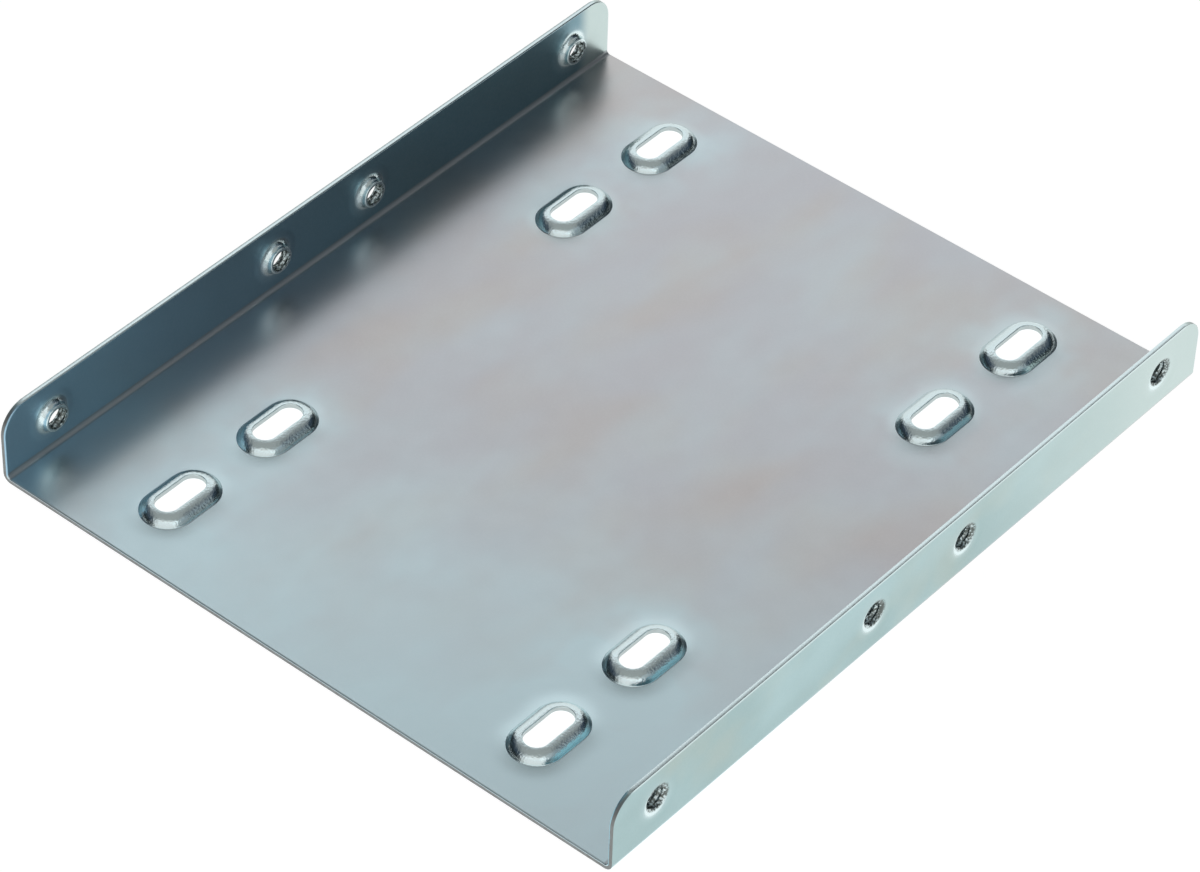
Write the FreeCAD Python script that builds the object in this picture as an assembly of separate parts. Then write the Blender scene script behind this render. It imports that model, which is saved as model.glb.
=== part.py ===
"""Drive bay adapter bracket: a shallow tray folded from one sheet of zinc-plated steel.

Two flanges stand along the long sides of a flat plate.  Eight oval seats are raised from the
plate, each with a slot for a drive's screw, and eight threaded collars are drawn inwards from
the flanges for the screws of the bay.

Frame: +X along the flanges, +Y across the plate, +Z up.  The origin is in the middle of the
plate's underside.  Lengths are in millimetres and angles in degrees.
"""
import FreeCAD
import Part

import math
import os

# Sheet and folds: the width is that of a drive made for the bay
SHEET = 0.7
PLATE_LENGTH = 118.0
BAY_WIDTH = 101.6
FLANGE_HEIGHT = 11.35
FOLD_RADIUS = 0.5
CORNER_RADIUS = 4.0
EDGE_BEVEL = 0.2

# Screw pattern under a small drive, which can stand in two places along the plate
DRIVE_PITCH_ALONG = 76.6
DRIVE_PITCH_ACROSS = 61.72
DRIVE_SHIFT = 9.0
DRIVE_SCREW = 3.0
SCREW_CLEARANCE = 0.45
SCREW_TRAVEL = 4.55

# Raised seats: flat land beside the slot and beyond its ends, and the two curves of the wall,
# which are measured on the upper face of the sheet
SEAT_RISE = 1.35
SIDE_LAND = 0.45
END_LAND = 0.3
SHOULDER_RADIUS = 1.4
FOOT_RADIUS = 0.38

# Screw pattern in the sides of the bay, counted from the first hole of each flange
SIDE_PITCH = 101.6
SIDE_INSET = 41.61
SIDE_HOLE_HEIGHT = 6.2

# Threaded collars: the bore is the thread's minor diameter, and the depth runs from the outside
# of the flange to the end ring
THREAD_MINOR = 2.84
COLLAR_WALL = 0.58
COLLAR_DEPTH = 1.95
MOUTH_RADIUS = 1.1
COLLAR_ROOT = 0.25

# Flat sheet that each formed feature keeps round it, where it is joined to the tray
MARGIN = 0.2

SLOT_WIDTH = DRIVE_SCREW + SCREW_CLEARANCE
ALONG = FreeCAD.Vector(1, 0, 0)
ACROSS = FreeCAD.Vector(0, 1, 0)
UP = FreeCAD.Vector(0, 0, 1)
ORIGIN = FreeCAD.Vector(0, 0, 0)


def spot(out, up):
    """Point of a section drawing: out from its axis and up along it."""
    return FreeCAD.Vector(out, 0, up)


def on_circle(centre, radius, angle):
    """Point of a circle in a section drawing, counted from outwards to upwards."""
    turn = math.radians(angle)
    return centre + spot(radius * math.cos(turn), radius * math.sin(turn))


def arc(centre, radius, start, end):
    """Round curve of a section drawing from one angle to another."""
    angles = (start, (start + end) / 2, end)
    return Part.Arc(*[on_circle(centre, radius, angle) for angle in angles])


def flats(centre, radius, start, end, count):
    """Small curve laid in a few flats, so that a much repeated feature keeps few facets."""
    step = (end - start) / count
    return [on_circle(centre, radius, start + step * place) for place in range(count + 1)]


def section(steps):
    """Closed face through points and curves in their order, joined by straight lines."""
    edges = []
    spans = []
    for step in steps:
        if isinstance(step, FreeCAD.Vector):
            spans.append((step, step))
        else:
            edges.append(step.toShape())
            spans.append((step.StartPoint, step.EndPoint))
    for (_, leave), (reach, _) in zip(spans, spans[1:] + spans[:1]):
        if leave.distanceToPoint(reach) > 1e-6:
            edges.append(Part.makeLine(leave, reach))
    return Part.Face(Part.Wire(Part.__sortEdges__(edges)))


def oval(drawing, straight):
    """Solid made by carrying a section round an oval track whose straight runs lie along X."""
    solids = []
    for side in (1, -1):
        end = ALONG * (side * straight / 2)
        face = drawing.copy()
        face.rotate(ORIGIN, UP, 90 * side)
        face.translate(end)
        solids.append(face.extrude(end * -2))
        solids.append(face.revolve(end, UP, -180))
    return solids[0].multiFuse(solids[1:]).removeSplitter()


def oval_block(radius, straight, low, high):
    """Upright oval block between two heights."""
    return oval(section([spot(0, low), spot(radius, low), spot(radius, high), spot(0, high)]), straight)


def outline_inside(tray):
    """Edges of the cut outline on the inside of the tray.

    The lines where the folds begin and end lie there too, but they run the whole length and are
    no part of the outline.
    """
    inside = BAY_WIDTH / 2 - SHEET
    picked = []
    for edge in tray.Edges:
        box = edge.BoundBox
        deep = max(-box.YMin, box.YMax) < inside + 1e-6 and box.ZMin > SHEET - 1e-6
        if deep and box.XLength < PLATE_LENGTH - 1e-6:
            picked.append(edge)
    return picked


def folded_tray():
    """Sheet folded up along both long sides, with rounded upper corners on the flanges.

    The outline is punched from the inside of the tray, which leaves its inner edge rolled over.
    """
    half = BAY_WIDTH / 2
    outer = FOLD_RADIUS + SHEET
    fold = spot(half - outer, outer)
    half_section = section([
        spot(0, 0),
        arc(fold, outer, -90, 0),
        spot(half, FLANGE_HEIGHT),
        spot(half - SHEET, FLANGE_HEIGHT),
        arc(fold, FOLD_RADIUS, 0, -90),
        spot(0, SHEET),
    ])
    end = PLATE_LENGTH / 2
    halves = []
    for side in (1, -1):
        face = half_section.copy()
        face.rotate(ORIGIN, UP, 90 * side)
        face.translate(ALONG * -end)
        halves.append(face.extrude(ALONG * PLATE_LENGTH))
    sheet = halves[0].fuse(halves[1]).removeSplitter()

    shoulder = FLANGE_HEIGHT - CORNER_RADIUS
    outline = section([
        spot(-end, -SHEET),
        spot(end, -SHEET),
        arc(spot(end - CORNER_RADIUS, shoulder), CORNER_RADIUS, 0, 90),
        arc(spot(CORNER_RADIUS - end, shoulder), CORNER_RADIUS, 90, 180),
    ])
    outline.translate(ACROSS * -BAY_WIDTH)
    tray = sheet.common(outline.extrude(ACROSS * (2 * BAY_WIDTH)))
    return tray.makeChamfer(EDGE_BEVEL, outline_inside(tray))


def seat():
    """Raised oval seat with its slot, and the flat blank that it is pressed from.

    The sheet keeps its thickness through the wall, which is an S of two tangent curves.  They
    swing through the angle that gives the rise, and an upright piece joins them where the rise
    is more than both radii.
    """
    reach = SHOULDER_RADIUS + FOOT_RADIUS
    swing = math.degrees(math.acos(max(0.0, 1 - SEAT_RISE / reach)))
    land = SLOT_WIDTH / 2 + SIDE_LAND
    foot = land + reach * math.sin(math.radians(swing))
    rim = foot + MARGIN
    top = SHEET + SEAT_RISE
    shoulder = spot(land, top - SHOULDER_RADIUS)
    toe = spot(foot, SHEET + FOOT_RADIUS)
    drawing = section([
        spot(0, top),
        *flats(shoulder, SHOULDER_RADIUS, 90, 90 - swing, 3),
        *flats(toe, FOOT_RADIUS, 270 - swing, 270, 1),
        spot(rim, SHEET),
        spot(rim, 0),
        *flats(toe, FOOT_RADIUS + SHEET, 270, 270 - swing, 2),
        *flats(shoulder, SHOULDER_RADIUS - SHEET, 90 - swing, 90, 2),
        spot(0, SEAT_RISE),
    ])
    straight = SCREW_TRAVEL + 2 * (END_LAND - SIDE_LAND)
    slot = oval_block(SLOT_WIDTH / 2, SCREW_TRAVEL, 0, 2 * top)
    return oval_block(rim, straight, 0, SHEET), oval(drawing, straight).cut(slot)


def collar():
    """Drawn collar and the round blank that it is drawn from, on their own axis.

    The outside of the flange is at 0.  The sheet rolls over into the bore at the mouth, and the
    end ring stands beyond the inside of the flange.  The roll-over is drawn as a spline, because
    a spline turned round the axis needs fewer facets than a torus.
    """
    bore = THREAD_MINOR / 2
    wall = bore + COLLAR_WALL
    mouth = bore + MOUTH_RADIUS
    rim = max(mouth, wall + COLLAR_ROOT) + MARGIN
    drawing = section([
        spot(rim, 0),
        arc(spot(mouth, MOUTH_RADIUS), MOUTH_RADIUS, 270, 180).toBSpline(),
        spot(bore, COLLAR_DEPTH),
        spot(wall, COLLAR_DEPTH),
        spot(wall, SHEET + COLLAR_ROOT),
        spot(wall + COLLAR_ROOT, SHEET),
        spot(rim, SHEET),
    ])
    return Part.makeCylinder(rim, SHEET), drawing.revolve(ORIGIN, UP, 360)


def on_flange(shape, along, side):
    """Copy of a shape with its axis turned inwards through one flange, at one of its holes."""
    placed = shape.copy()
    placed.rotate(ORIGIN, ALONG, 90 * side)
    placed.translate(FreeCAD.Vector(along, side * BAY_WIDTH / 2, SIDE_HOLE_HEIGHT))
    return placed


def bracket():
    """The whole bracket as one solid."""
    blanks = []
    formed = []
    seat_blank, seat_form = seat()
    for shift in (-DRIVE_SHIFT, DRIVE_SHIFT):
        for along in (-DRIVE_PITCH_ALONG / 2, DRIVE_PITCH_ALONG / 2):
            for across in (-DRIVE_PITCH_ACROSS / 2, DRIVE_PITCH_ACROSS / 2):
                place = FreeCAD.Vector(along + shift, across, 0)
                blanks.append(seat_blank.translated(place))
                formed.append(seat_form.translated(place))
    collar_blank, collar_form = collar()
    last = SIDE_PITCH / 2
    for along in (-last, SIDE_INSET - last, last - SIDE_INSET, last):
        for side in (1, -1):
            blanks.append(on_flange(collar_blank, along, side))
            formed.append(on_flange(collar_form, along, side))
    return folded_tray().cut(blanks).multiFuse(formed).removeSplitter()


os.makedirs("parts", exist_ok=True)
bracket().exportStep("parts/bracket.step")
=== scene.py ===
"""Looks of a drive bay adapter bracket: one shallow tray folded from zinc-plated sheet steel.

The sheet is drawn flat, in millimetres, as (along, across, height above its outer skin).  The
raised seats and the tapped collars are set into it, and then the whole pattern is folded up.
"""
import logging
import math
from collections.abc import Callable
from dataclasses import dataclass, field
from enum import Enum

import bmesh
import bpy
import numpy as np
from mathutils import Euler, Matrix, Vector
from mathutils.geometry import delaunay_2d_cdt


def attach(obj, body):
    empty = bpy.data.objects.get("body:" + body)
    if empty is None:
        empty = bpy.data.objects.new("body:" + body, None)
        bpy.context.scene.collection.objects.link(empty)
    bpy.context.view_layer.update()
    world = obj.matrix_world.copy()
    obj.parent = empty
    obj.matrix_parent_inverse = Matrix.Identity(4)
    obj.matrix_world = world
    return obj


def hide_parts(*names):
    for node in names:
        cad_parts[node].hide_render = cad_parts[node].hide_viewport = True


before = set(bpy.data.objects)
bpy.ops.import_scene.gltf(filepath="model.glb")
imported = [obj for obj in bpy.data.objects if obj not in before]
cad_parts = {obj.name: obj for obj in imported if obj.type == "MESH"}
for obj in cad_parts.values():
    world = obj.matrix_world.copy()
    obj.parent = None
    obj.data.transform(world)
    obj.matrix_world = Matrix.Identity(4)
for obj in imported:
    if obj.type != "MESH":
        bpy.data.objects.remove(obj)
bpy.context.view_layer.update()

LOG = logging.getLogger("bracket")
MM = 0.001
PLAIN = -1

Colour = tuple[float, float, float, float]
Pair = tuple[float, float]
Station = tuple[float, float, float]
Fade = tuple[float, float, float]
Faces = list[tuple[int, ...]]
Operator = Callable[["Wire", "Wire | float"], "Wire"]


class Mark(Enum):
    """What was done to the sheet at a place, and where painted light and shade go, kept as a number from 0
    to 1 at each point.
    """

    # burnish from pressing, drawing and cutting, and a painted highlight on the mouths' lips
    WORKED = "worked"
    SHEARED = "sheared"
    # painted shade in the tapped bores and a painted shadow line along the flanges' top edges
    TAPPED = "tapped"
    # the folds' inner radius, which takes painted shade and more roughness
    FOLDED = "folded"
    HAZED = "hazed"


@dataclass(frozen=True)
class Clouds:
    """Soft clouds, their scale per millimetre, and the part of their range that becomes levels."""

    scale: float
    detail: float = 2.0
    rough: float = 0.5
    ends: Pair = (0.0, 1.0)
    levels: Pair = (0.0, 1.0)
    output: str | int = 0


def forward(operation: str) -> Operator:
    """Makes the operator of a wire that stands first."""
    return lambda wire, value: wire.graph.maths(operation, wire, value)


def reflected(operation: str) -> Operator:
    """Makes the operator of a wire that stands second, after a number."""
    return lambda wire, value: wire.graph.maths(operation, value, wire)


class Wire:
    """Output of a node that takes part in sums as a number does."""

    def __init__(self, graph: "Graph", socket: bpy.types.NodeSocket) -> None:
        """Keeps the socket and the graph that it belongs to.

        Args:
            graph: The graph that new nodes are added to.
            socket: The output that this wire carries.
        """
        self.graph = graph
        self.socket = socket

    def other(self, name: str) -> "Wire":
        """Gives another output of the same node."""
        return Wire(self.graph, self.socket.node.outputs[name])

    __add__, __radd__ = forward("ADD"), reflected("ADD")
    __sub__, __rsub__ = forward("SUBTRACT"), reflected("SUBTRACT")
    __mul__, __rmul__ = forward("MULTIPLY"), reflected("MULTIPLY")
    __truediv__, __rtruediv__ = forward("DIVIDE"), reflected("DIVIDE")


class Graph:
    """Node tree of a material or of Geometry Nodes, built by one method for every node."""

    def __init__(self, tree: bpy.types.NodeTree) -> None:
        """Empties a tree so that it can be built anew.

        Args:
            tree: The tree to build.
        """
        self.tree = tree
        tree.nodes.clear()

    def node(self, kind: str, settings: dict | None = None, inputs: dict | None = None,
             output: str | int = 0) -> Wire:
        """Adds a node.

        Args:
            kind: The node's type.
            settings: Its own settings, which are set first.
            inputs: Values or wires of its sockets, by their name or their place.
            output: The output that the wire carries.

        Returns:
            A wire from the node's output.
        """
        made = self.tree.nodes.new(kind)
        for name, value in (settings or {}).items():
            setattr(made, name, value)
        for name, value in (inputs or {}).items():
            for part in value if isinstance(value, list) else [value]:
                if isinstance(part, Wire):
                    self.tree.links.new(part.socket, made.inputs[name])
                else:
                    made.inputs[name].default_value = part
        chosen = made.outputs[output] if len(made.outputs) else made.inputs[0]
        return Wire(self, chosen)

    def maths(self, operation: str, first: Wire | float, second: Wire | float = 0.0) -> Wire:
        """Adds a Math node."""
        return self.node("ShaderNodeMath", {"operation": operation}, {0: first, 1: second})

    def vector(self, operation: str, first: Wire, second: tuple = (0, 0, 0),
               scale: Wire | float = 1.0) -> Wire:
        """Adds a Vector Math node, whose scale counts where it scales."""
        inputs = {0: first, 1: second, 3: scale}
        return self.node("ShaderNodeVectorMath", {"operation": operation}, inputs)

    def axes(self, place: Wire) -> tuple[Wire, Wire, Wire]:
        """Parts a place into its X, Y and Z."""
        parts = self.node("ShaderNodeSeparateXYZ", {}, {0: place})
        return parts, parts.other("Y"), parts.other("Z")

    def mark(self, mark: Mark) -> Wire:
        """Reads how far something was done to the sheet at a place."""
        return self.node("ShaderNodeAttribute", {"attribute_name": mark.value}, {}, "Fac")

    def mix(self, factor: Wire, first: Wire | Colour, second: Wire | Colour) -> Wire:
        """Mixes two colours by the share of the second."""
        settings = {"data_type": "RGBA"}
        return self.node("ShaderNodeMix", settings, {0: factor, 6: first, 7: second}, 2)

    def span(self, value: Wire, ends: Pair, levels: Pair = (0.0, 1.0)) -> Wire:
        """Carries the range between two ends smoothly to two levels, and holds it there."""
        inputs = dict(zip(("Value", "From Min", "From Max", "To Min", "To Max"),
                          (value, *ends, *levels)))
        return self.node("ShaderNodeMapRange", {"interpolation_type": "SMOOTHSTEP"}, inputs)

    def noise(self, place: Wire, clouds: Clouds) -> Wire:
        """Adds clouds as they are, from 0 to 1."""
        inputs = dict(zip(("Vector", "Scale", "Detail", "Roughness"),
                          (place, clouds.scale, clouds.detail, clouds.rough)))
        return self.node("ShaderNodeTexNoise", {"noise_dimensions": "3D"}, inputs, clouds.output)

    def patches(self, place: Wire, clouds: Clouds) -> Wire:
        """Adds clouds whose range is carried to their levels."""
        return self.span(self.noise(place, clouds), clouds.ends, clouds.levels)


class Finish:
    """What a piece wears: a named material with one surface."""

    name: str

    def inputs(self, graph: Graph) -> dict:
        """Gives what the sockets of the surface are set to or fed with."""
        raise NotImplementedError

    def material(self) -> bpy.types.Material:
        """Builds the material.

        Returns:
            The material.
        """
        made = bpy.data.materials.new(self.name)
        made.use_nodes = True
        graph = Graph(made.node_tree)
        surface = graph.node("ShaderNodeBsdfPrincipled", {}, self.inputs(graph))
        graph.node("ShaderNodeOutputMaterial", {}, {"Surface": surface})
        return made


@dataclass(frozen=True)
class ZincFinish(Finish):
    """Zinc plating under a thin blue passivated film, semi-gloss, burnished where it was worked, with
    painted light and shade on the flanges, in the bores and creases and at the mouths' lips.

    Runs, edges and heights are in millimetres on the folded tray.
    """

    name: str = "zinc_plate"
    plain: Colour = (0.61, 0.62, 0.645, 1.0)
    film: Colour = (0.675, 0.845, 0.885, 1.0)
    # upright: a darker copy of the film on the flanges' outer faces, painted shade
    upright: Colour = (0.35, 0.50, 0.505, 1.0)
    # Inner faces: painted shade and light, a shaded copy of the film on the +Y flange, a lit cyan copy on
    # the −Y flange, and a darker painted shade towards the far end
    inner: Colour = (0.38, 0.60, 0.74, 1.0)
    lit_inner_cyan: Colour = (0.42, 0.80, 0.92, 1.0)
    shaded_inner_far: Colour = (0.21, 0.355, 0.41, 1.0)
    # creased: painted shade in the inner radius of the folds
    creased: Colour = (0.43, 0.455, 0.47, 1.0)
    rose: Colour = (0.62, 0.59, 0.575, 1.0)
    haze: Colour = (0.46, 0.64, 0.66, 1.0)
    tarnish: Colour = (0.43, 0.52, 0.48, 1.0)
    # pale: painted reflection of the bright floor, on the far part of the outer faces and at the open end
    # of the inner faces
    pale: Colour = (0.58, 0.70, 0.68, 1.0)
    # burnished: burnished metal where the sheet was pressed, drawn or cut, and a painted highlight on the
    # lips of the collars' mouths
    burnished: Colour = (0.79, 0.93, 0.94, 1.0)
    fleck: Colour = (1.0, 1.0, 1.0, 1.0)
    steel: Colour = (0.26, 0.265, 0.26, 1.0)
    # bore: painted shade in the tapped bores and on their flares, and a painted shadow line along the
    # flanges' burred top edges
    bore: Colour = (0.13, 0.15, 0.14, 1.0)

    drawn_out: tuple[float, float, float] = (0.55, 1.0, 1.0)
    drift: Clouds = Clouds(0.045, 3.0, 0.55)
    film_patches: Clouds = Clouds(0.062, 3.0, 0.55, (0.36, 0.78), (0.0, 0.32))
    haze_patches: Clouds = Clouds(0.12, 2.0, 0.5, (0.3, 0.65), (0.1, 0.5))
    rose_patches: Clouds = Clouds(0.05, 2.0, 0.5, (0.45, 0.62), (0.0, 1.0), "Color")
    tarnish_patches: Clouds = Clouds(0.07, 3.0, 0.6, (0.45, 0.68), (0.0, 0.6))
    bloom_patches: Clouds = Clouds(0.09, 2.0, 0.5, (0.42, 0.66), (0.0, 0.6), "Color")
    flecks: Clouds = Clouds(2.6, 4.0, 0.7, (0.35, 0.75), (0.0, 0.04))
    torn_patches: Clouds = Clouds(1.6, 3.0, 0.6, (0.3, 0.7), (0.88, 1.0))
    glints: Clouds = Clouds(3.2, 2.0, 0.5, (0.44, 0.64), (1.0, 0.15))

    film_run: Pair = (0.0, -64.0)
    film_drift: float = 40.0
    film_slant: float = 0.3
    film_share: float = 0.9
    flange_drift: float = 20.0
    floor_reflection_run: Pair = (2.0, 60.0)
    far_shade_run: Pair = (-68.0, 28.0)
    open_end_reflection_run: Pair = (52.0, 55.0)
    side_run: Pair = (-5.0, 5.0)
    outer_run: Pair = (50.4, 50.5)
    upright_run: Pair = (0.7, 1.2)
    edge_run: Pair = (10.6, 11.0)
    edge_shadow_share: float = 0.8
    crease_shade_share: float = 0.8

    plain_rough: float = 0.32
    worked_rough: float = 0.20
    sheared_rough: float = 0.42
    tapped_rough: float = 0.30
    crease_roughening: float = 0.12
    blotch_roughening: float = 0.06
    blotches: Clouds = Clouds(0.35, 3.0, 0.6)
    grain: float = 0.00033
    grain_clouds: Clouds = Clouds(4.5, 3.0, 0.6)
    speckle: float = 0.044
    speckle_clouds: Clouds = Clouds(3.0, 2.0, 0.6)
    wave: float = 0.006
    wave_clouds: Clouds = Clouds(0.45, 2.0, 0.5)

    def plate_colour(self, graph: Graph, place: Wire) -> Wire:
        """Lays out the film's tints on the plate: cyan at one end and in soft clouds.

        Args:
            graph: The material's graph.
            place: Place on the tray.

        Returns:
            Colour of the plate where it was not worked.
        """
        x, y, _ = graph.axes(place)
        drift = (graph.noise(place, self.drift) - 0.5) * self.film_drift
        drawn = graph.vector("MULTIPLY", place, self.drawn_out)
        film = graph.span(x + drift + y * self.film_slant, self.film_run) * self.film_share
        film = film + graph.patches(drawn, self.film_patches)
        film = film + graph.mark(Mark.HAZED) * graph.patches(place, self.haze_patches)
        bare = graph.mix(graph.patches(drawn, self.rose_patches), self.plain, self.rose)
        return graph.mix(graph.maths("MINIMUM", film, 1.0), bare, self.film)

    def flange_colour(self, graph: Graph, place: Wire) -> Wire:
        """Lays out the flanges' colour, most of it painted light and shade. Outside, a darker copy of the
        film is painted shade, under patches of tarnish and haze, and it turns pale towards the far end as a
        painted reflection of the floor. Inside, the +Y flange has a shaded copy of the film and the −Y
        flange a lit cyan copy, darker towards the far end as painted shade and pale at the open end as a
        painted reflection.

        Args:
            graph: The material's graph.
            place: Place on the tray.

        Returns:
            Colour of a flange where it was not worked.
        """
        x, y, _ = graph.axes(place)
        drifted = x + (graph.noise(place, self.drift) - 0.5) * self.flange_drift
        drawn = graph.vector("MULTIPLY", place, self.drawn_out)
        outside = graph.mix(graph.patches(place, self.tarnish_patches), self.upright, self.tarnish)
        outside = graph.mix(graph.patches(drawn, self.bloom_patches), outside, self.haze)
        # Painted reflection of the floor: the outer faces turn paler towards the far end.
        outside = graph.mix(graph.span(drifted, self.floor_reflection_run), outside, self.pale)
        # Painted shade and light inside: the +Y flange as a shaded copy, the −Y flange as a lit cyan copy,
        # darker towards the far end and pale at the open end as a painted reflection.
        inside = graph.mix(graph.span(y, self.side_run), self.lit_inner_cyan, self.inner)
        inside = graph.mix(graph.span(drifted, self.far_shade_run), inside, self.shaded_inner_far)
        inside = graph.mix(graph.span(x, self.open_end_reflection_run), inside, self.pale)
        outward = graph.span(graph.maths("ABSOLUTE", y), self.outer_run)
        return graph.mix(outward, inside, outside)

    def colour(self, graph: Graph, place: Wire) -> Wire:
        """Lays burnished and sheared metal over the film's tints, with painted shade in the creases and the
        tapped bores, a painted shadow line along the flanges' top edges, painted glints in the bores and a
        painted highlight on the mouths' lips.

        Args:
            graph: The material's graph.
            place: Place on the tray.

        Returns:
            Colour of the sheet.
        """
        _, _, z = graph.axes(place)
        upright = graph.span(z, self.upright_run)
        made = graph.mix(upright, self.plate_colour(graph, place), self.flange_colour(graph, place))
        # Burnished metal, with a painted highlight on the mouths' lips.
        made = graph.mix(graph.mark(Mark.WORKED), made, self.burnished)
        made = graph.mix(graph.patches(place, self.flecks), made, self.fleck)
        # Painted shade in the inner radius of the folds.
        made = graph.mix(graph.mark(Mark.FOLDED) * self.crease_shade_share, made, self.creased)
        torn = graph.mark(Mark.SHEARED) * graph.patches(place, self.torn_patches)
        made = graph.mix(torn, made, self.steel)
        # Painted shadow line along the flanges' burred top edges.
        edge = graph.span(z, self.edge_run, (0.0, self.edge_shadow_share))
        # The glint clouds thin the bores' painted shade into painted glints; the top edges keep their
        # painted shadow line.
        cut = graph.maths("MAXIMUM", graph.patches(place, self.glints), edge)
        return graph.mix(graph.mark(Mark.TAPPED) * cut, made, self.bore)

    def roughness(self, graph: Graph, place: Wire) -> Wire:
        """Works out how rough the sheet is.

        Args:
            graph: The material's graph.
            place: Place on the tray.

        Returns:
            Roughness, least where the sheet was burnished.
        """
        blotch = graph.noise(place, self.blotches) - 0.5
        made = self.plain_rough + graph.mark(Mark.WORKED) * (self.worked_rough - self.plain_rough)
        made = made + graph.mark(Mark.SHEARED) * (self.sheared_rough - self.worked_rough)
        made = made + graph.mark(Mark.TAPPED) * (self.tapped_rough - self.worked_rough)
        made = made + graph.mark(Mark.FOLDED) * self.crease_roughening
        return made + blotch * self.blotch_roughening

    def height(self, graph: Graph, place: Wire) -> Wire:
        """Lays out the grain of the plating and the slight waves of the rolled sheet.

        Formed places are speckled too, but not the flanges' upper edges.

        Args:
            graph: The material's graph.
            place: Place on the tray.

        Returns:
            Height in millimetres.
        """
        _, _, z = graph.axes(place)
        formed = graph.mark(Mark.WORKED) * graph.span(z, self.edge_run, (1.0, 0.0))
        speckle = graph.noise(place, self.speckle_clouds) * formed * self.speckle
        grain = graph.noise(place, self.grain_clouds) * self.grain
        return grain + speckle + graph.noise(place, self.wave_clouds) * self.wave

    def inputs(self, graph: Graph) -> dict:
        """Lays out the plated metal over the tray.

        Args:
            graph: The material's graph.

        Returns:
            Values and wires by the names of the surface's sockets.
        """
        place = graph.node("ShaderNodeTexCoord", output="Object")
        place = graph.vector("SCALE", place, scale=1 / MM)
        bump = graph.node("ShaderNodeBump", {}, {"Strength": 1.0, "Distance": MM,
                                                 "Height": self.height(graph, place)})
        return {"Base Color": self.colour(graph, place), "Metallic": 1.0,
                "Roughness": self.roughness(graph, place), "Normal": bump}


@dataclass(frozen=True)
class FloorFinish(Finish):
    """Plain pale floor, lit a little from within as a light table is."""

    name: str = "pale_floor"
    shade: Colour = (0.30, 0.30, 0.30, 1.0)
    light: Colour = (1.0, 1.0, 1.0, 1.0)
    glow: float = 0.9
    rough: float = 0.9

    def inputs(self, graph: Graph) -> dict:
        """Gives the floor's shade and glow."""
        return {"Base Color": self.shade, "Roughness": self.rough, "Specular IOR Level": 0.0,
                "Emission Color": self.light, "Emission Strength": self.glow}


def ramp(value: np.ndarray, low: float | np.ndarray, high: float | np.ndarray) -> np.ndarray:
    """Carries values smoothly from 0 at low to 1 at high, which may be the lesser."""
    share = np.clip((value - low) / (high - low), 0, 1)
    return share * share * (3 - 2 * share)


def bow(centre: Pair, radius: float, start: float, end: float, steps: int) -> list[Pair]:
    """Lays points, out and up, round a centre between two angles counted from outwards to upwards."""
    turns = np.radians(np.linspace(start, end, steps + 1))
    return [(centre[0] + radius * math.cos(turn), centre[1] + radius * math.sin(turn))
            for turn in turns]


def placed(name: str, data: bpy.types.ID) -> bpy.types.Object:
    """Puts a new object into the scene.

    Args:
        name: Its name.
        data: Its mesh, light or camera.

    Returns:
        The object.
    """
    made = bpy.data.objects.new(name, data)
    bpy.context.scene.collection.objects.link(made)
    return made


def at_height(flat: np.ndarray, height: float) -> np.ndarray:
    """Lifts rows of along and across to one height."""
    return np.column_stack([flat, np.full(len(flat), height)])


def vertices(mesh: bpy.types.Mesh) -> np.ndarray:
    """Reads the points of a mesh as rows of x, y and z."""
    return np.array([vertex.co for vertex in mesh.vertices], dtype=float)


@dataclass
class Sheet:
    """Sizes of the folded sheet, and the way a flat point is carried to its folded place."""

    thickness: float = 0.7
    length: float = 118.0
    width: float = 101.6
    flange: float = 11.35
    fold_radius: float = 0.5
    corner: float = 4.0
    neutral: float = 0.4

    @property
    def fold_start(self) -> float:
        """Distance across from the middle to where a fold begins."""
        return self.width / 2 - self.fold_radius - self.thickness

    @property
    def fold_run(self) -> float:
        """Flat width of a fold."""
        return math.pi / 2 * (self.fold_radius + self.neutral * self.thickness)

    @property
    def flange_start(self) -> float:
        """Flat distance across from the middle to where a flange begins."""
        return self.fold_start + self.fold_run

    @property
    def half_flat(self) -> float:
        """Flat distance across from the middle to the flange's edge."""
        return self.across_at(self.flange)

    def across_at(self, height: float) -> float:
        """Gives the flat distance across at a height of a flange."""
        return self.flange_start + height - self.fold_radius - self.thickness

    def fold(self, flat: np.ndarray) -> np.ndarray:
        """Carries flat points to their places on the folded sheet.

        Args:
            flat: Rows of along, across and height above the outer skin.

        Returns:
            Rows of x, y and z in millimetres.
        """
        out = np.abs(flat[:, 1])
        turn = np.clip((out - self.fold_start) / self.fold_run, 0, 1) * math.pi / 2
        radius = self.fold_radius + self.thickness - flat[:, 2]
        rise = np.maximum(out - self.flange_start, 0)
        y = np.minimum(out, self.fold_start) + radius * np.sin(turn)
        z = self.fold_radius + self.thickness - radius * np.cos(turn) + rise
        return np.column_stack([flat[:, 0], np.sign(flat[:, 1]) * y, z])


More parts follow.
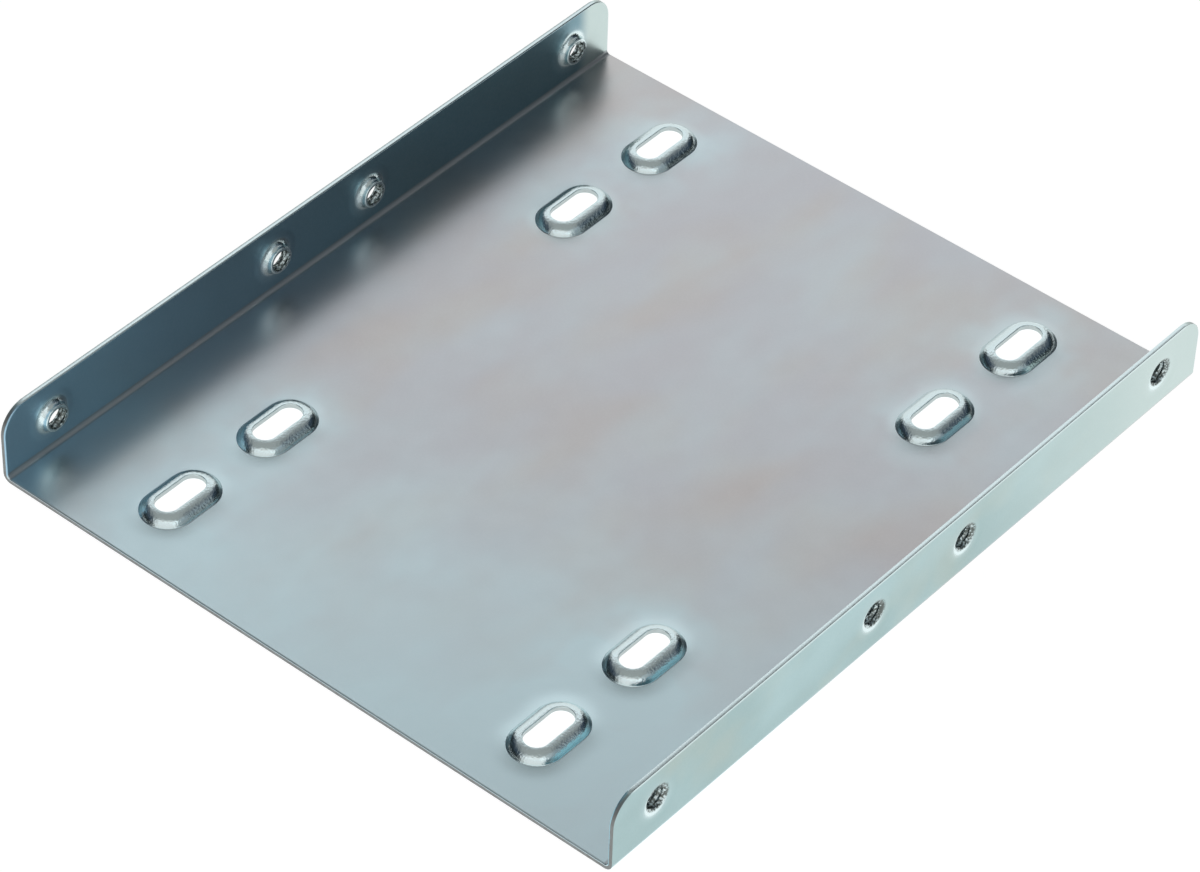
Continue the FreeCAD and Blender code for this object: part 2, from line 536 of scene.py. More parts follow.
@dataclass
class Patch:
    """Points and faces in millimetres, gathered from several stretches of one surface."""

    points: list[np.ndarray] = field(default_factory=list)
    faces: Faces = field(default_factory=list)
    count: int = 0

    def add(self, points: np.ndarray, faces: Faces) -> None:
        """Adds points and the faces between them.

        Args:
            points: Rows of three numbers.
            faces: Places of their corners among these points.
        """
        self.points.append(points)
        self.faces += [tuple(corner + self.count for corner in face) for face in faces]
        self.count += len(points)

    def add_mesh(self, mesh: bpy.types.Mesh) -> None:
        """Takes over a mesh and removes it."""
        self.add(vertices(mesh), [tuple(face.vertices) for face in mesh.polygons])
        bpy.data.meshes.remove(mesh)

    def add_rings(self, rings: list[np.ndarray]) -> None:
        """Joins closed rings with as many points each, one after another.

        Args:
            rings: The rings, each with rows of three numbers.
        """
        size = len(rings[0])
        faces = []
        for ring in range(len(rings) - 1):
            low, high = ring * size, (ring + 1) * size
            for spot in range(size):
                after = (spot + 1) % size
                faces.append((low + spot, low + after, high + after, high + spot))
        self.add(np.vstack(rings), faces)

    def mesh(self, name: str, scale: float = 1.0, weld: float = 0.0004) -> bpy.types.Mesh:
        """Welds what has been gathered.

        Args:
            name: Name of the mesh.
            scale: Factor from millimetres.
            weld: Distance in millimetres within which points become one.

        Returns:
            The mesh, with its faces outwards.
        """
        made = bpy.data.meshes.new(name)
        made.from_pydata([tuple(point) for point in np.vstack(self.points)], [], self.faces)
        work = bmesh.new()
        work.from_mesh(made)
        bmesh.ops.remove_doubles(work, verts=work.verts, dist=weld)
        bmesh.ops.dissolve_degenerate(work, edges=work.edges, dist=weld)
        bmesh.ops.recalc_face_normals(work, faces=work.faces)
        bmesh.ops.scale(work, vec=(scale, scale, scale), verts=work.verts)
        work.to_mesh(made)
        work.free()
        return made


@dataclass
class RaisedSeat:
    """Oval seat pressed up from the plate, with its slot."""

    sheet: Sheet
    slot_width: float = 3.45
    slot_length: float = 8.0
    rise: float = 1.35
    side_land: float = 0.17
    end_land: float = 0.11
    shoulder: float = 2.0
    foot: float = 0.22
    drawn_edge: float = 0.1
    burr: float = 0.03
    burnish: float = 0.15
    pull: float = 0.12
    pull_power: float = 2.5
    rim: float = 6.6
    end_steps: int = 26
    run_steps: int = 4
    skirt_steps: int = 8
    edge_steps: int = 4
    upper_steps: tuple[int, int] = (6, 14)
    lower_steps: tuple[int, int] = (6, 9)

    @property
    def travel(self) -> float:
        """Length of the slot's straight sides."""
        return self.slot_length - self.slot_width

    @property
    def land(self) -> float:
        """Radius at which the flat land ends."""
        return self.slot_width / 2 + self.side_land

    @property
    def run(self) -> float:
        """Length of the seat's straight sides."""
        return self.travel + 2 * (self.end_land - self.side_land)

    @property
    def swing(self) -> float:
        """Angle in degrees through which both curves of the wall turn."""
        return math.degrees(math.acos(1 - (self.rise - self.pull) / (self.shoulder + self.foot)))

    @property
    def outline(self) -> float:
        """Radius at which the wall meets the plate."""
        return self.land + (self.shoulder + self.foot) * math.sin(math.radians(self.swing))

    def oval(self, radius: float, straight: float) -> np.ndarray:
        """Lays points on an oval round the middle of the seat.

        Args:
            radius: Radius of its ends.
            straight: Length of its straight sides.

        Returns:
            Rows of along and across.
        """
        turns = np.radians(np.linspace(-90, 90, self.end_steps + 1))
        end = np.column_stack([straight / 2 + radius * np.cos(turns), radius * np.sin(turns)])
        shares = np.linspace(0.5, -0.5, self.run_steps + 1)[1:-1]
        side = np.column_stack([straight * shares, np.full(len(shares), radius)])
        return np.vstack([end, side, -end, -side])

    def skins(self) -> tuple[list[Pair], list[Pair]]:
        """Works out the upper skin from the rim to the land, and the lower skin back.

        Returns:
            Radius and height of each oval of the upper skin, and of the lower.
        """
        thick, swing, foot = self.sheet.thickness, self.swing, self.outline
        skirt = [(foot + (self.rim - foot) * share, self.pull * (1 - share) ** self.pull_power)
                 for share in np.linspace(1, 0, self.skirt_steps + 1)[:-1]]
        toe = (foot, thick + self.pull + self.foot)
        crown = (self.land, thick + self.rise - self.shoulder)
        upper = [(out, thick + up) for out, up in skirt]
        upper += bow(toe, self.foot, 270, 270 - swing, self.upper_steps[0])[:-1]
        upper += bow(crown, self.shoulder, 90 - swing, 90, self.upper_steps[1])
        lower = bow(crown, self.shoulder - thick, 90, 90 - swing, self.lower_steps[0])[:-1]
        lower += bow(toe, self.foot + thick, 270 - swing, 270, self.lower_steps[1])
        return upper, lower + skirt[::-1]

    def stations(self) -> list[Station]:
        """Works out the section from the upper rim, over the seat, down the slot and back.

        Returns:
            Radius, straight length and height of each oval.
        """
        upper, lower = self.skins()
        slot = self.slot_width / 2
        top = self.sheet.thickness + self.rise
        below = top - self.sheet.thickness
        edge = top - self.drawn_edge
        wall = bow((slot + self.drawn_edge, edge), self.drawn_edge, 90, 180, self.edge_steps)
        wall += [(slot, edge - self.burnish), (slot, below + 2 * self.burr),
                 (slot, below + self.burr), (slot + self.burr, below)]
        between = (self.run + self.travel) / 2
        made = [(out, self.run, up) for out, up in upper]
        made.append(((self.land + slot + self.drawn_edge) / 2, between, top))
        made += [(out, self.travel, up) for out, up in wall]
        made.append(((self.land + slot) / 2, between, below))
        return made + [(out, self.run, up) for out, up in lower]

    def blank(self) -> bpy.types.Mesh:
        """Builds one seat about the middle of its slot, in millimetres and open at its rims."""
        patch = Patch()
        patch.add_rings([at_height(self.oval(out, run), up) for out, run, up in self.stations()])
        return patch.mesh("seat_blank")


@dataclass
class TappedCollar:
    """Collar drawn inwards from a flange, tapped for a number 6 screw."""

    sheet: Sheet
    bore: float = 1.42
    wall: float = 0.58
    depth: float = 1.95
    mouth: float = 1.1
    flare: float = 0.72
    root: float = 0.85
    ring_inside: float = 0.05
    ring_outside: float = 0.14
    waist: float = 0.1
    pull: float = 0.08
    rim: float = 4.2
    thread_root: float = 1.64
    thread_rim: float = 0.05
    ring_start: float = 0.02
    cut_margin: float = 0.01
    pitch: float = 0.794
    vee_slope: float = 1.28
    vee_flat: float = 0.14
    ragged: float = 0.16
    ragged_rise: float = 0.5
    ragged_clouds: Clouds = Clouds(0.85)
    lay: float = 0.045
    turns: int = 72
    dish_steps: int = 5
    mouth_steps: int = 10
    ring_steps: tuple[int, int] = (3, 5)
    root_steps: int = 7

    @property
    def lip(self) -> float:
        """Radius at which the mouth meets the flange's outer skin."""
        return self.bore + self.mouth

    @property
    def outside(self) -> float:
        """Radius of the collar's outside."""
        return self.bore + self.wall

    def circle(self, radius: float) -> np.ndarray:
        """Lays points on a circle round the collar's axis, as rows of along and across."""
        angles = np.arange(self.turns) * 2 * math.pi / self.turns
        return radius * np.column_stack([np.cos(angles), np.sin(angles)])

    def dish(self, start: float) -> list[Pair]:
        """Lists radius and dip of the flange's circles, from the rim to where the collar starts."""
        return [(start + (self.rim - start) * share, self.pull * (1 + math.cos(math.pi * share)) / 2)
                for share in np.linspace(1, 0, self.dish_steps + 1)[:-1]]

    def stations(self) -> list[Pair]:
        """Works out the section from the outer rim, through the bore and back outside.

        Returns:
            Radius and height above the outer skin of each circle.
        """
        thick, lip = self.sheet.thickness, self.lip
        made = self.dish(lip)
        edge = self.thread_root + self.thread_rim
        start = math.degrees(math.acos((edge - lip) / self.mouth))
        made += [(out, self.pull + self.flare * (1 + up / self.mouth))
                 for out, up in bow((lip, 0.0), self.mouth, 270, 360 - start, self.mouth_steps)]
        last = self.depth - self.ring_inside
        for height in np.arange(made[-1][1] + self.lay, last, self.lay):
            drop = max(1 - (height - self.pull) / self.flare, 0)
            made.append((lip - self.mouth * math.sqrt(1 - drop ** 2), height))
        inside = (self.bore + self.ring_inside, last)
        outside = (self.outside - self.ring_outside, self.depth - self.ring_outside)
        base = self.outside + self.root
        made += bow(inside, self.ring_inside, 180, 90, self.ring_steps[0])
        made.append((self.thread_root + self.ring_start, self.depth))
        made += bow(outside, self.ring_outside, 90, 0, self.ring_steps[1])
        made.append((self.outside, (self.depth + thick) / 2 + self.waist))
        made += bow((base, thick + self.root + self.pull), self.root, 180, 270, self.root_steps)
        return made + [(out, thick + dip) for out, dip in reversed(self.dish(base))]

    def blank(self) -> bpy.types.Mesh:
        """Builds one collar with a plain bore about its own axis, open at its rims."""
        patch = Patch()
        patch.add_rings([at_height(self.circle(out), up) for out, up in self.stations()])
        return patch.mesh("collar_blank")


@dataclass
class Layout:
    """Where the seats and the collars stand on the flat pattern."""

    drive_along: float = 76.6
    drive_across: float = 61.72
    drive_shift: float = 9.0
    side_pitch: float = 101.6
    side_inset: float = 41.61
    side_height: float = 6.2

    @property
    def inner_pitch(self) -> float:
        """Distance between the two middle collars of a flange."""
        return self.side_pitch - 2 * self.side_inset

    def seats(self) -> list[Pair]:
        """Lists the middles of the seats, along and across."""
        return [(end * self.drive_along / 2 + shift, side * self.drive_across / 2)
                for shift in (-self.drive_shift, self.drive_shift)
                for end in (-1, 1) for side in (-1, 1)]

    def collars(self, across: float) -> list[Pair]:
        """Lists the axes of the collars at a flat distance across."""
        return [(end * pitch / 2, side * across)
                for pitch in (self.side_pitch, self.inner_pitch)
                for end in (-1, 1) for side in (-1, 1)]


class Repeater:
    """Geometry Nodes tree that repeats a blank over pairs of rows on the flat pattern."""

    def __init__(self, name: str, blank: bpy.types.Mesh) -> None:
        """Starts a tree for one blank.

        Args:
            name: Name of the tree.
            blank: The mesh to repeat.
        """
        self.tree = bpy.data.node_groups.new(name, "GeometryNodeTree")
        self.graph = Graph(self.tree)
        self.blank = placed(name, blank)
        self.sizes: dict[str, float] = {}
        self.tree.interface.new_socket("Blank", in_out="INPUT", socket_type="NodeSocketGeometry")
        self.tree.interface.new_socket("Pattern", in_out="OUTPUT", socket_type="NodeSocketGeometry")
        self.start = self.graph.node("NodeGroupInput", output="Blank")

    def size(self, name: str, value: float) -> Wire:
        """Adds a named size as an input of the tree.

        Args:
            name: Name of the input.
            value: Its value in millimetres.

        Returns:
            A wire from the input.
        """
        socket = self.tree.interface.new_socket(name, in_out="INPUT", socket_type="NodeSocketFloat")
        self.sizes[socket.identifier] = value
        return self.start.other(name)

    def four(self, along: Wire, across: Wire, shift: Wire | float = 0.0) -> Wire:
        """Lays four points at the corners of a rectangle.

        Args:
            along: Length of the rectangle.
            across: Width of the rectangle.
            shift: How far its middle stands along.

        Returns:
            The points.
        """
        graph = self.graph
        corners = graph.node("GeometryNodeMeshGrid", {}, {"Size X": along, "Size Y": across,
                                                          "Vertices X": 2, "Vertices Y": 2})
        move = graph.node("ShaderNodeCombineXYZ", {}, {"X": shift})
        return graph.node("GeometryNodeTransform", {}, {"Geometry": corners, "Translation": move})

    def finish(self, blank: Wire, places: list[Wire], material: bpy.types.Material) -> bpy.types.Mesh:
        """Sets the blank at each place, and bakes the tree to a plain mesh.

        Args:
            blank: The blank as it is repeated.
            places: The points that it goes to.
            material: What the repeated pieces wear.

        Returns:
            The baked mesh in millimetres.
        """
        graph = self.graph
        points = graph.node("GeometryNodeJoinGeometry", {}, {0: places})
        copies = graph.node("GeometryNodeInstanceOnPoints", {}, {"Points": points, "Instance": blank})
        real = graph.node("GeometryNodeRealizeInstances", {}, {"Geometry": copies})
        worn = graph.node("GeometryNodeSetMaterial", {}, {"Geometry": real, "Material": material})
        graph.node("NodeGroupOutput", {}, {"Pattern": worn})
        modifier = self.blank.modifiers.new(self.tree.name, "NODES")
        modifier.node_group = self.tree
        for identifier, value in self.sizes.items():
            modifier[identifier] = value
        bpy.context.view_layer.update()
        evaluated = self.blank.evaluated_get(bpy.context.evaluated_depsgraph_get())
        baked = bpy.data.meshes.new_from_object(evaluated)
        old = self.blank.data
        bpy.data.objects.remove(self.blank)
        bpy.data.meshes.remove(old)
        return baked


@dataclass
class Web:
    """Points and fixed lines of a flat skin, and the rim that each point belongs to, or PLAIN."""

    points: list[Pair] = field(default_factory=list)
    lines: list[tuple[int, int]] = field(default_factory=list)
    owners: list[int] = field(default_factory=list)
    near: float = 1e-5

    def add(self, points: np.ndarray, owner: int = PLAIN, closed: bool = False,
            joined: bool = True) -> None:
        """Adds points and the lines between them.

        Args:
            points: Rows of along and across.
            owner: Number of the rim that they belong to.
            closed: Whether a line joins the last point to the first.
            joined: Whether lines join the points in their order.
        """
        start = len(self.points)
        self.points += [tuple(point) for point in points]
        self.owners += [owner] * len(points)
        last = len(self.points) - 1
        if joined:
            self.lines += [(spot, spot + 1) for spot in range(start, last)]
        if closed:
            self.lines.append((last, start))

    def cover(self) -> tuple[np.ndarray, Faces]:
        """Covers the web with faces and leaves its rims open.

        Returns:
            Rows of along and across, and the faces between them.
        """
        found, _, faces, sources, _, _ = delaunay_2d_cdt(
            [Vector(point) for point in self.points], self.lines, [], 0, self.near)
        exact = np.array([self.points[origin[0]] if origin else tuple(place)
                          for place, origin in zip(found, sources)])
        kept = []
        for face in faces:
            owners = {self.owners[sources[corner][0]] if sources[corner] else PLAIN
                      for corner in face}
            if owners == {PLAIN} or len(owners) > 1:
                kept.append(tuple(face))
        return exact, kept


@dataclass
class FlatPattern:
    """The sheet's two skins and its cut edge, drawn flat."""

    sheet: Sheet
    drawn_edge: float = 0.2
    drawn_start: float = 0.04
    torn_height: float = 0.45
    burr: float = 0.03
    burr_reach: float = 2.5
    margin: float = 0.42
    bend_margin: float = 0.25
    rim_margin: float = 0.5
    grid: float = 4.0
    along_stops: int = 56
    plate_stops: int = 51
    flange_stops: int = 7
    corner_steps: int = 14
    edge_steps: int = 6
    fold_steps: int = 12

    def fold_lines(self) -> list[float]:
        """Lists the flat distances across of the lines that bend at a fold."""
        turns = np.linspace(0, self.sheet.fold_run, self.fold_steps + 1)
        lines = [self.sheet.fold_start - self.bend_margin] + list(self.sheet.fold_start + turns)
        return lines + [self.sheet.flange_start + self.bend_margin]

    def stops_along(self) -> np.ndarray:
        """Lists the places of points on the edges that run along."""
        end = self.sheet.length / 2 - self.sheet.corner
        return np.linspace(-end, end, self.along_stops)

    def stops_across(self) -> np.ndarray:
        """Lists the places of points on the edges that run across.

        Returns:
            Flat distances across, from one flange's rounded corner to the other's.
        """
        lines = self.fold_lines()
        plate = np.linspace(-lines[0], lines[0], self.plate_stops)
        last = self.sheet.half_flat - self.sheet.corner
        flange = np.linspace(lines[-1], last, self.flange_stops)
        side = np.concatenate([lines[1:], flange[1:]])
        return np.concatenate([-side[::-1], plate, side])

    def outline(self, inset: float) -> np.ndarray:
        """Lays points round the cut outline.

        Args:
            inset: Distance inwards from the outline.

        Returns:
            Rows of along and across.
        """
        along, across = self.stops_along(), self.stops_across()
        far, side = self.sheet.length / 2 - inset, self.sheet.half_flat - inset
        radius = self.sheet.corner - inset
        runs = [np.column_stack([np.full(len(across), far), across]),
                np.column_stack([along[::-1], np.full(len(along), side)]),
                np.column_stack([np.full(len(across), -far), across[::-1]]),
                np.column_stack([along, np.full(len(along), -side)])]
        loop = []
        for run, start in zip(runs, (0, 90, 180, 270)):
            turns = np.radians(start + np.linspace(0, 90, self.corner_steps + 1)[1:-1])
            middle = np.array([math.copysign(far - radius, math.cos(turns[0])),
                               math.copysign(side - radius, math.sin(turns[0]))])
            corner = middle + radius * np.column_stack([np.cos(turns), np.sin(turns)])
            loop += [run, corner]
        return np.vstack(loop)

    def cut_edge(self) -> list[np.ndarray]:
        """Works out the cut edge from the inner skin, over its drawn corner, to the outer skin.

        Returns:
            The rings of points round the outline.
        """
        thick, drawn, burr = self.sheet.thickness, self.drawn_edge, self.burr
        stations = [(self.margin, thick), (drawn + self.drawn_start, thick)]
        stations += bow((drawn, thick - drawn), drawn, 90, 180, self.edge_steps)
        stations += [(0.0, thick * self.torn_height), (0.0, 2 * burr), (0.0, burr), (burr, 0.0),
                     (self.burr_reach * burr, 0.0), (self.margin, 0.0)]
        return [at_height(self.outline(inset), height) for inset, height in stations]

    def skin(self, rims: list[np.ndarray]) -> tuple[np.ndarray, Faces]:
        """Covers the pattern between the cut edge and the rims of what is formed in it.

        Args:
            rims: Loops of along and across where the formed features begin.

        Returns:
            Rows of along and across, and the faces between them.
        """
        web = Web()
        web.add(self.outline(self.margin), closed=True)
        for number, rim in enumerate(rims):
            web.add(rim, number, closed=True)
        far, lines = self.sheet.length / 2 - self.margin, self.fold_lines()
        stops = np.linspace(-far, far, round(2 * far / self.grid) + 1)
        for line in [-line for line in reversed(lines)] + lines:
            web.add(np.column_stack([stops, np.full(len(stops), line)]))
        rows = np.linspace(-lines[0], lines[0], round(2 * lines[0] / self.grid) + 1)[1:-1]
        plate = np.array([(stop, row) for row in rows for stop in stops[1:-1]])
        for rim in rims:
            centre = rim.mean(axis=0)
            reach = np.abs(rim - centre).max(axis=0) + self.rim_margin
            plate = plate[(np.abs(plate - centre) > reach).any(axis=1)]
        web.add(plate, joined=False)
        return web.cover()


@dataclass
class Wear:
    """What was done to the sheet at each point of the folded tray, and where painted light and shade go.

    Distances are in millimetres, and a fade is a share with the distances where it ends and
    where it is whole.
    """

    sheet: Sheet
    layout: Layout
    seat: RaisedSeat
    collar: TappedCollar
    places: np.ndarray
    near: float = 0.004
    edge_run: Pair = (0.2, 0.05)
    seat_fades: tuple[Fade, ...] = ((0.75, 0.05, -0.3), (0.25, 1.6, 0.0))
    collar_fades: tuple[Fade, ...] = ((0.85, 0.5, 0.0), (0.15, 1.6, 0.0))
    collar_reach: float = 0.15
    collar_inside: float = 0.4
    root_worked: float = 0.5
    lip_highlight_reach: float = -0.1
    lip_highlight_lean: float = 0.2
    haze_reach: float = 8.0
    crease_margin: Pair = (0.02, 0.01)
    bore_inset: float = 0.04
    bore_flare: float = 0.28
    flare_run: Pair = (0.9, 0.1)
    bore_soft: float = 0.12
    mouth_soft: float = 0.25
    mouth_run: Pair = (0.4, 0.0)
    bore_shade_lean: float = 0.13
    burr_size: Pair = (0.1, 0.05)
    burr_shadow_share: float = 0.7
    torn_run: Pair = (0.75, 3.25)
    slot_share: float = 0.62

    def __post_init__(self) -> None:
        """Parts the places into their axes, and measures inwards from the flanges' outside."""
        self.x, self.y, self.z = self.places.T
        self.inward = self.sheet.width / 2 - np.abs(self.y)

    def from_track(self, straight: float) -> np.ndarray:
        """Measures in plan to the nearest seat's straight middle line, whose length is given."""
        return np.min([np.hypot(np.maximum(np.abs(self.x - along) - straight / 2, 0), self.y - across)
                       for along, across in self.layout.seats()], axis=0)

    def from_axis(self, lean: np.ndarray) -> np.ndarray:
        """Measures to the nearest collar's axis, moved forwards and upwards by a lean."""
        height = self.z - self.layout.side_height - lean
        return np.min([np.hypot(self.x - along - lean, height)
                       for along, _ in self.layout.collars(1.0)], axis=0)

    def worked(self) -> np.ndarray:
        """Works out how far each point was pressed, drawn or cut, with a painted highlight on one side of
        each mouth's lip.

        Returns:
            A share from 0 to 1 for each point.
        """
        edge = ramp(self.sheet.flange - self.z, *self.edge_run)
        past = self.from_track(self.seat.run) - self.seat.outline
        pressed = sum(share * ramp(past, end, whole) for share, end, whole in self.seat_fades)
        # Outside the flanges, the ring round each mouth is moved towards −X and down, a painted highlight
        # on one side of the lip.
        inside = self.inward > self.collar_inside
        past = self.from_axis(np.where(inside, 0.0, -self.lip_highlight_lean)) - self.collar.outside
        past = past - np.where(inside, self.root_worked, self.lip_highlight_reach)
        drawn = sum(share * ramp(past, end, whole) for share, end, whole in self.collar_fades)
        near = self.inward < self.collar.depth + self.collar_reach
        return np.max([edge, pressed, near * drawn], axis=0)

    def hazed(self) -> np.ndarray:
        """Works out how far the film is clouded round the seats, from 0 to 1."""
        return ramp(self.from_track(self.seat.run) - self.seat.outline, self.haze_reach, 0.0)

    def folded(self) -> np.ndarray:
        """Finds the points on the inner radius of the two folds.

        Returns:
            1 on the inner radius and 0 elsewhere, for each point.
        """
        wide, slack = self.crease_margin
        out = np.abs(self.y) - self.sheet.fold_start
        lift = self.sheet.fold_radius + self.sheet.thickness - self.z
        near = np.hypot(out, lift) < self.sheet.fold_radius + wide
        return (near & (out > -slack) & (lift > -slack)).astype(float)

    def tapped(self) -> np.ndarray:
        """Works out where painted shade lies in the tapped bores and on their flares, and where a painted
        shadow line runs along a flange's burred top edge.

        Returns:
            A share from 0 to 1 for each point.
        """
        mouth = ramp(self.inward, *self.mouth_run)
        reach = self.collar.thread_root - self.bore_inset
        reach = reach + self.bore_flare * ramp(self.inward, *self.flare_run)
        soft = self.bore_soft + self.mouth_soft * mouth
        # Painted shade in the bore, its centre leaning towards +X and upwards, so that the shade spreads to
        # that side of each mouth.
        bore = ramp(self.from_axis(self.bore_shade_lean * mouth), reach + soft, reach)
        near = self.inward < self.collar.depth + self.collar_reach
        # A painted shadow line along the burred top edge of each flange.
        wide, deep = self.burr_size
        burr = (self.inward < wide) & (self.z > self.sheet.flange - deep)
        return np.maximum(bore * near, burr * self.burr_shadow_share)

    def sheared(self) -> np.ndarray:
        """Finds the points on the sheared walls of the slots and of the outline.

        Returns:
            A share from 0 to 1 for each point.
        """
        corner = self.sheet.corner
        past_x = np.abs(self.x) - self.sheet.length / 2 + corner
        past_z = self.z - self.sheet.flange + corner
        away = np.hypot(np.maximum(past_x, 0), np.maximum(past_z, 0))
        made = (away > corner - self.near) * ramp(past_x, *self.torn_run)
        wall = np.abs(self.from_track(self.seat.travel) - self.seat.slot_width / 2) < self.near
        return np.where(wall, self.slot_share, made)

    def marks(self) -> dict[Mark, np.ndarray]:
        """Gathers all that was done to the sheet."""
        return {Mark.WORKED: self.worked(), Mark.SHEARED: self.sheared(),
                Mark.TAPPED: self.tapped(), Mark.FOLDED: self.folded(), Mark.HAZED: self.hazed()}


@dataclass
class Tray:
    """The folded sheet with its seats and collars, as one closed piece."""

    sheet: Sheet = field(default_factory=Sheet)
    layout: Layout = field(default_factory=Layout)
    finish: ZincFinish = ZincFinish()
    sharp_angle: float = 38.0

    def __post_init__(self) -> None:
        """Sizes what is formed in the sheet."""
        self.seat = RaisedSeat(self.sheet)
        self.collar = TappedCollar(self.sheet)
        self.pattern = FlatPattern(self.sheet)

    def seats(self, material: bpy.types.Material) -> bpy.types.Mesh:
        """Repeats the seat over the two drive patterns.

        Args:
            material: What the seats wear.

        Returns:
            The seats on the flat pattern.
        """
        rows = Repeater("raised_seats", self.seat.blank())
        along = rows.size("Pitch along", self.layout.drive_along)
        across = rows.size("Pitch across", self.layout.drive_across)
        shift = rows.size("Shift", self.layout.drive_shift)
        places = [rows.four(along, across, shift), rows.four(along, across, 0.0 - shift)]
        return rows.finish(rows.start, places, material)

    def threaded(self, rows: Repeater) -> Wire:
        """Cuts the thread into the collar's bore, and makes its outside slightly ragged.

        Args:
            rows: The tree that holds the collar's blank.

        Returns:
            The collar.
        """
        graph, collar = rows.graph, self.collar
        pitch = rows.size("Thread pitch", collar.pitch)
        minor = rows.size("Minor radius", collar.bore)
        major = rows.size("Major radius", collar.thread_root)
        ragged = rows.size("Ragged edge", collar.ragged)
        place = graph.node("GeometryNodeInputPosition")
        x, y, height = graph.axes(place)
        radius = graph.maths("SQRT", x * x + y * y)
        turn = graph.maths("ARCTAN2", y, x) / (2 * math.pi)
        vee = graph.maths("ABSOLUTE", graph.maths("FRACT", height / pitch - turn) * 2.0 - 1.0)
        share = graph.node("ShaderNodeClamp", {}, {0: vee * collar.vee_slope - collar.vee_flat})
        groove = minor + (major - minor) * share
        cut = graph.maths("MAXIMUM", radius, groove) / radius
        moved = graph.node("ShaderNodeCombineXYZ", {}, {"X": x * cut, "Y": y * cut, "Z": height})
        tapped = graph.node("GeometryNodeSetPosition", {}, {
            "Geometry": rows.start, "Selection": graph.maths("LESS_THAN", radius, major),
            "Position": moved})
        thick = self.sheet.thickness
        lift = graph.span(height, (thick, thick + collar.ragged_rise))
        outwards = graph.node("ShaderNodeCombineXYZ", {}, {
            "X": x / radius, "Y": y / radius, "Z": -1.0})
        shift = (graph.noise(place, collar.ragged_clouds) - 0.5) * ragged * lift
        return graph.node("GeometryNodeSetPosition", {}, {
            "Geometry": tapped, "Selection": graph.maths("GREATER_THAN", radius, major + collar.cut_margin),
            "Offset": graph.vector("SCALE", outwards, scale=shift)})

    def collars(self, material: bpy.types.Material) -> bpy.types.Mesh:
        """Repeats the tapped collar along the flanges.

        Args:
            material: What the collars wear.

        Returns:
            The collars on the flat pattern.
        """
        rows = Repeater("tapped_collars", self.collar.blank())
        tapped = self.threaded(rows)
        outer = rows.size("Outer pitch", self.layout.side_pitch)
        inner = rows.size("Inner pitch", self.layout.inner_pitch)
        flat = rows.size("Flat width", 2 * self.sheet.across_at(self.layout.side_height))
        return rows.finish(tapped, [rows.four(outer, flat), rows.four(inner, flat)], material)

    def folded(self, material: bpy.types.Material) -> bpy.types.Mesh:
        """Builds the whole sheet flat and folds it.

        Args:
            material: What the sheet wears.

        Returns:
            The closed mesh in metres.
        """
        patch = Patch()
        patch.add_mesh(self.seats(material))
        patch.add_mesh(self.collars(material))
        across = self.sheet.across_at(self.layout.side_height)
        rims = [self.seat.oval(self.seat.rim, self.seat.run) + middle
                for middle in self.layout.seats()]
        rims += [self.collar.circle(self.collar.rim) + axis for axis in self.layout.collars(across)]
        patch.add_rings(self.pattern.cut_edge())
        flat, faces = self.pattern.skin(rims)
        for height in (0.0, self.sheet.thickness):
            patch.add(at_height(flat, height), faces)
        patch.points = [self.sheet.fold(np.vstack(patch.points))]
        mesh = patch.mesh("folded_tray", MM)
        mesh.shade_smooth()
        mesh.set_sharp_from_angle(angle=math.radians(self.sharp_angle))
        mesh.materials.append(material)
        return mesh

    def build(self) -> bpy.types.Object:
        """Builds the tray, marks what was done to its sheet, and dresses the part with it.

        Returns:
            The folded tray.
        """
        mesh = self.folded(self.finish.material())
        wear = Wear(self.sheet, self.layout, self.seat, self.collar, vertices(mesh) / MM)
        for mark, values in wear.marks().items():
            layer = mesh.attributes.new(mark.value, "FLOAT", "POINT")
            layer.data.foreach_set("value", values.astype(np.float32))
        made = placed("folded_tray", mesh)
        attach(made, "root")
        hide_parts("bracket")
        return made


@dataclass
class Softbox:
    """Large soft light that faces the middle of the tray, with its angles in degrees."""

    name: str
    azimuth: float
    elevation: float
    width: float
    height: float
    radiance: float
    colour: tuple[float, float, float] = (1.0, 1.0, 1.0)
    distance: float = 0.9

    def build(self) -> None:
        """Hangs the softbox."""
        light = bpy.data.lights.new(self.name, "AREA")
        light.shape = "RECTANGLE"
        light.size = self.width
        light.size_y = self.height
        light.energy = self.radiance * self.width * self.height * math.pi
        light.color = self.colour
        made = placed(self.name, light)
        tilt, turn = math.radians(self.elevation), math.radians(self.azimuth)
        away = Vector((math.cos(tilt) * math.cos(turn), math.cos(tilt) * math.sin(turn),
                       math.sin(tilt)))
        made.location = away * self.distance
        made.rotation_euler = away.to_track_quat("Z", "Y").to_euler()
        made.visible_camera = False


WARM = (1.03, 1.0, 0.985)
COOL = (0.92, 1.0, 1.03)
SOFTBOXES = (
    Softbox("back_box", 41.5, 20.0, width=1.0, height=0.917, radiance=0.79),
    Softbox("back_upper_box", 41.5, 51.2, width=1.15, height=0.243, radiance=0.24),
    Softbox("front_box", 209.1, 25.8, width=1.72, height=1.38, radiance=0.27, colour=WARM),
    Softbox("front_inner_box", 209.1, 25.8, width=1.34, height=1.08, radiance=0.47, colour=WARM,
            distance=0.899),
    Softbox("side_box", 275.5, 30.3, width=1.0, height=0.859, radiance=0.27, colour=COOL),
)


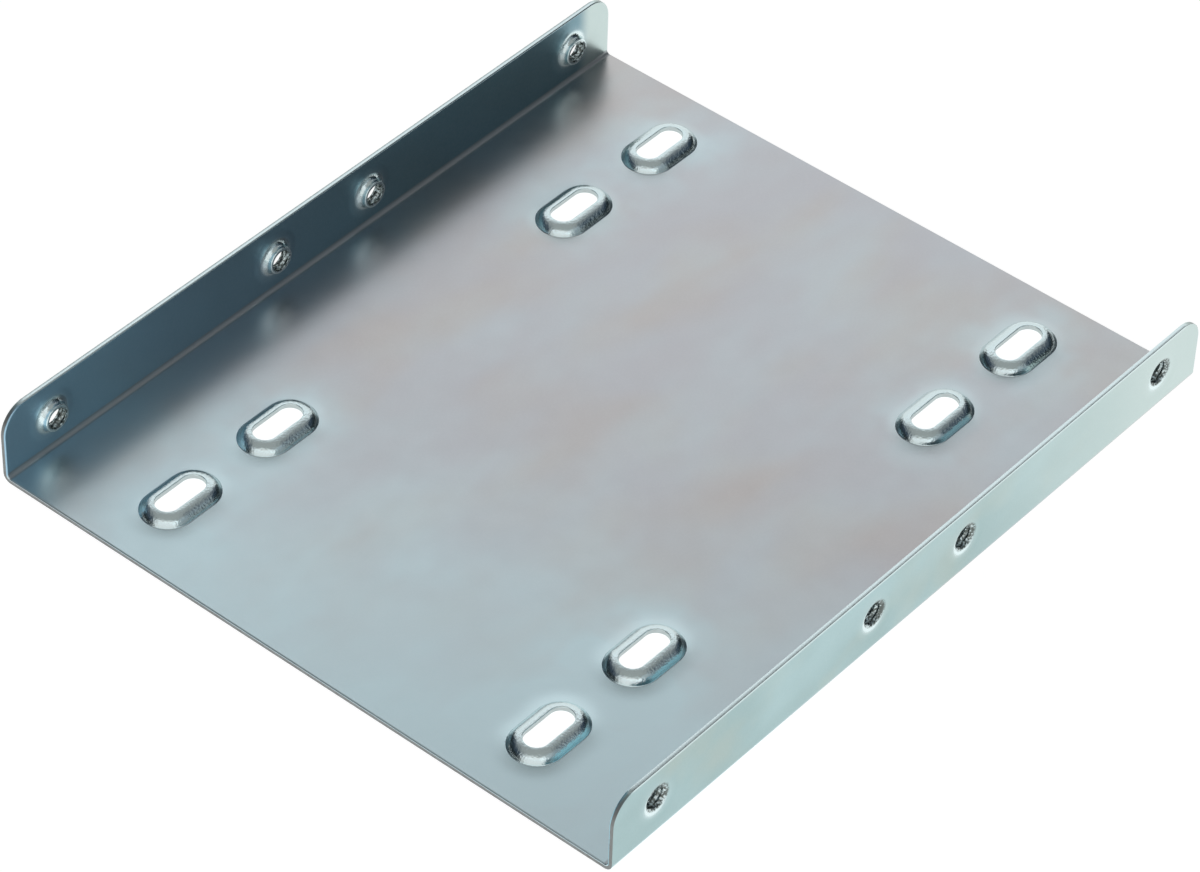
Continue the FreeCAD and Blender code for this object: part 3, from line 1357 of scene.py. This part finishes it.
@dataclass
class Studio:
    """Pale floor, soft light and the camera, in metres and degrees, its lens in millimetres."""

    place: tuple[float, float, float] = (-0.37688, -0.30415, 0.44294)
    turn: tuple[float, float, float] = (47.4416, -1.5332, -49.5811)
    lens: float = 152.13
    sensor: float = 36.0
    clip: Pair = (0.01, 20.0)
    floor_reach: float = 3.0
    floor_drop: float = 1e-5
    low: Colour = (0.011, 0.016, 0.018, 1.0)
    wall: Colour = (0.031, 0.046, 0.070, 1.0)
    ceiling: Colour = (0.335, 0.335, 0.33, 1.0)
    wall_run: Pair = (0.30, 0.62)
    ceiling_run: Pair = (0.60, 0.95)
    finish: FloorFinish = FloorFinish()

    def floor(self) -> None:
        """Lays the floor just under the tray."""
        mesh = bpy.data.meshes.new("floor")
        corners = [(-1, -1), (1, -1), (1, 1), (-1, 1)]
        mesh.from_pydata([(self.floor_reach * x, self.floor_reach * y, -self.floor_drop)
                          for x, y in corners], [], [(0, 1, 2, 3)])
        mesh.materials.append(self.finish.material())
        made = placed("floor", mesh)

    def camera(self) -> None:
        """Sets up the camera."""
        view = bpy.data.cameras.new("camera")
        view.lens = self.lens
        view.sensor_width = self.sensor
        view.clip_start, view.clip_end = self.clip
        made = placed("camera", view)
        made.location = self.place
        made.rotation_euler = Euler([math.radians(angle) for angle in self.turn], "XYZ")
        bpy.context.scene.camera = made

    def surround(self) -> bpy.types.World:
        """Makes the room round the tray, dark at its foot and pale at its ceiling.

        Returns:
            The world.
        """
        made = bpy.data.worlds.new("surround")
        made.use_nodes = True
        graph = Graph(made.node_tree)
        _, _, up = graph.axes(graph.node("ShaderNodeTexCoord", output="Generated"))
        colour = graph.mix(graph.span(up, self.wall_run), self.low, self.wall)
        colour = graph.mix(graph.span(up, self.ceiling_run), colour, self.ceiling)
        glow = graph.node("ShaderNodeBackground", {}, {"Color": colour, "Strength": 1.0})
        graph.node("ShaderNodeOutputWorld", {}, {"Surface": glow})
        return made

    def build(self) -> None:
        """Sets up everything round the tray."""
        scene = bpy.context.scene
        scene.world = self.surround()
        scene.view_settings.view_transform = "Standard"
        scene.view_settings.look = "None"
        self.floor()
        for light in SOFTBOXES:
            light.build()
        self.camera()


def main() -> None:
    """Builds the tray and its studio."""
    logging.basicConfig(level=logging.INFO)
    tray = Tray().build()
    LOG.info("%s: %d faces", tray.name, len(tray.data.polygons))
    Studio().build()


if __name__ == "__main__":
    main()
